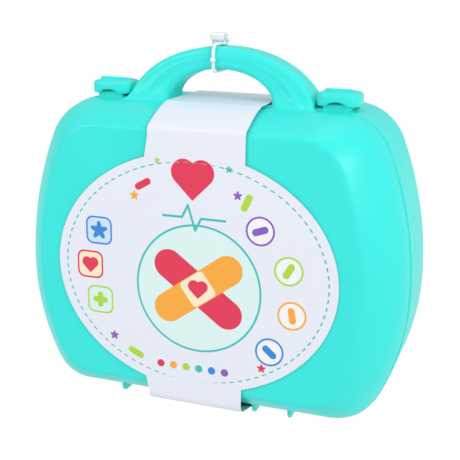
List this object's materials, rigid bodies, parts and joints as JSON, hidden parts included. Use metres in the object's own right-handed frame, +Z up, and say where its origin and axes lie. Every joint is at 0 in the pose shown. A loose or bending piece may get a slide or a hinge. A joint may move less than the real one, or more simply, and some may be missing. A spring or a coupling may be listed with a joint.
{
  "type": "toy doctor case",
  "caption": "Child's play doctor case: two hinged moulded shells with carry handle, top latches, card sleeve, and trays and play tools inside.",
  "frame": {"origin": "middle of the case's bounding box, on the ground that the fin feet stand on", "axes": "+Z up, -Y towards the front face with the oval of the sleeve, +X to the viewer's right"},
  "size_m": [0.268, 0.1058, 0.2505],
  "materials": {
    "case_plastic": "satin moulded polypropylene, turquoise",
    "pin_steel": "plain drawn wire",
    "sleeve_card": "coated white board with printed shapes",
    "tie_plastic": "translucent natural nylon",
    "white_plastic": "satin moulded white",
    "red_plastic": "glossy moulded red",
    "yellow_plastic": "glossy moulded yellow",
    "blue_plastic": "glossy moulded blue",
    "teal_tool_plastic": "glossy moulded teal",
    "clear_plastic": "clear moulded styrene",
    "label_paper": "printed gloss label",
    "mirror_foil": "hot-foil mirror disc"
  },
  "bodies": {
    "rear_case": {"rear_shell": "case_plastic", "left_hinge_pin": "pin_steel", "right_hinge_pin": "pin_steel", "left_latch_pin": "pin_steel", "right_latch_pin": "pin_steel", "sleeve_rear": "sleeve_card", "tie_head": "tie_plastic", "hook_bar": "red_plastic", "badge": "white_plastic", "shelf": "red_plastic", "lid_label": "label_paper", "scissors_left": "blue_plastic", "scissors_rivet": "white_plastic", "forceps_right": "blue_plastic", "forceps_rivet": "white_plastic", "bottle_body": "white_plastic", "bottle_cap": "blue_plastic"},
    "front_case": {"front_shell": "case_plastic", "sleeve_front": "sleeve_card", "tie_strand": "tie_plastic", "worktop_tray": "white_plastic", "left_side_tray": "red_plastic", "right_side_tray": "red_plastic", "syringe_barrel": "clear_plastic", "mirror_handle": "yellow_plastic", "mirror_glass": "mirror_foil", "reflex_hammer": "yellow_plastic", "tongs": "teal_tool_plastic", "thermometer_body": "white_plastic", "thermometer_tip": "blue_plastic", "headset": "blue_plastic", "chest_piece": "red_plastic"},
    "left_latch_body": {"left_latch": "case_plastic"},
    "right_latch_body": {"right_latch": "case_plastic"},
    "scissors_moving": {"scissors_right": "blue_plastic"},
    "forceps_moving": {"forceps_left": "blue_plastic"},
    "plunger": {"syringe_plunger": "red_plastic"}
  },
  "joints": [
    {"name": "case_hinge", "type": "hinge", "parent": "rear_case", "child": "front_case", "pos_m": [0, 0.006, 0.0045], "axis": [1, 0, 0], "range_deg": [0, 95]},
    {"name": "left_latch_hinge", "type": "hinge", "parent": "rear_case", "child": "left_latch_body", "pos_m": [-0.07902, 0.013, 0.21], "axis": [-1, 0, 0], "range_deg": [0, 70]},
    {"name": "right_latch_hinge", "type": "hinge", "parent": "rear_case", "child": "right_latch_body", "pos_m": [0.07902, 0.013, 0.21], "axis": [-1, 0, 0], "range_deg": [0, 70]},
    {"name": "scissors_pivot", "type": "hinge", "parent": "rear_case", "child": "scissors_moving", "pos_m": [-0.067, 0.0387, 0.10537], "axis": [0, 1, 0], "range_deg": [0, 28]},
    {"name": "forceps_pivot", "type": "hinge", "parent": "rear_case", "child": "forceps_moving", "pos_m": [0.067, 0.0387, 0.10537], "axis": [0, -1, 0], "range_deg": [0, 24]},
    {"name": "plunger_slide", "type": "slide", "parent": "front_case", "child": "plunger", "axis": [-1, 0, 0], "range_m": [0, 0.022]}
  ]
}
